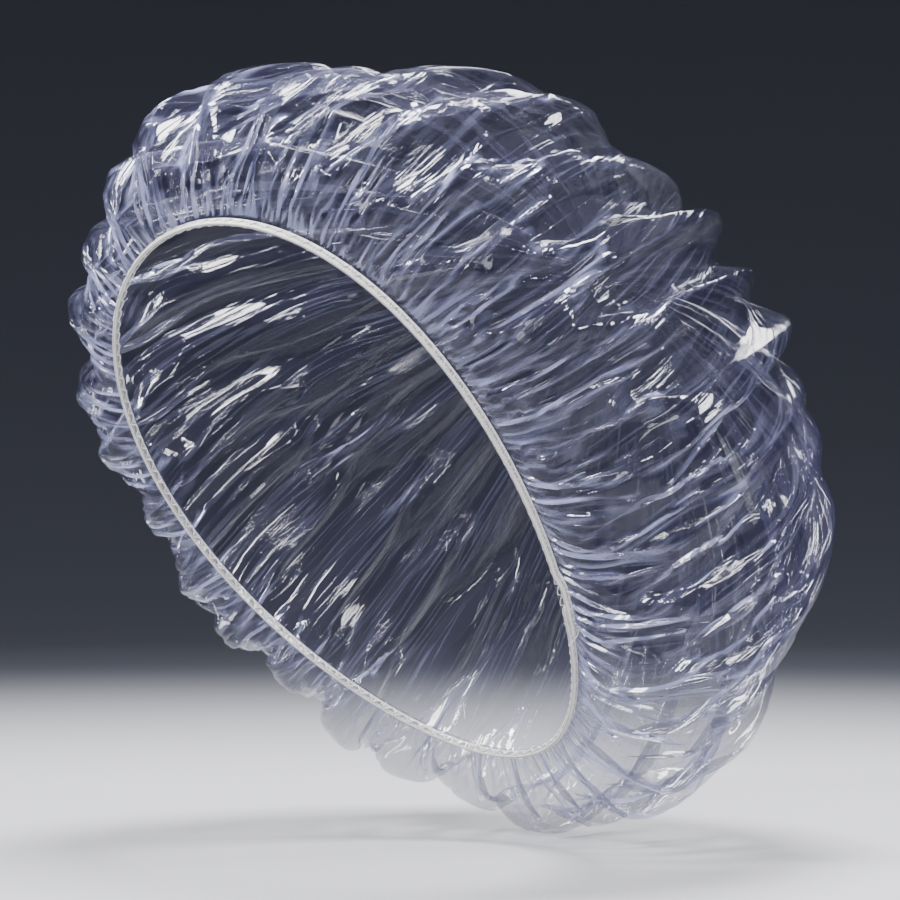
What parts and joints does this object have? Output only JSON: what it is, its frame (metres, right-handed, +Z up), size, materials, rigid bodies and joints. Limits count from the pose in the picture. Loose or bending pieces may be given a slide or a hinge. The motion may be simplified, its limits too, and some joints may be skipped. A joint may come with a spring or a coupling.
{
  "type": "shower cap",
  "caption": "Clear film bouffant shower cap, gathered onto a narrow white braided elastic by a zigzag seam, shaped as worn on a head.",
  "frame": {"origin": "middle of the rim's opening, along the middle of the elastic", "axes": "as worn: +Z up, the wearer faces -Y, +X to the wearer's left; the rim's plane leans back by 50 degrees, forehead up"},
  "size_m": [0.2453, 0.2494, 0.2607],
  "materials": {
    "film": "clear crinkled polyethylene film",
    "braid": "braided white polyester",
    "rubber": "natural latex",
    "thread": "spun white polyester"
  },
  "bodies": {
    "root": {"crown_film": "film", "elastic_cover": "braid", "rubber_cord_1": "rubber", "rubber_cord_2": "rubber", "needle_thread": "thread", "looper_thread": "thread"}
  },
  "joints": []
}
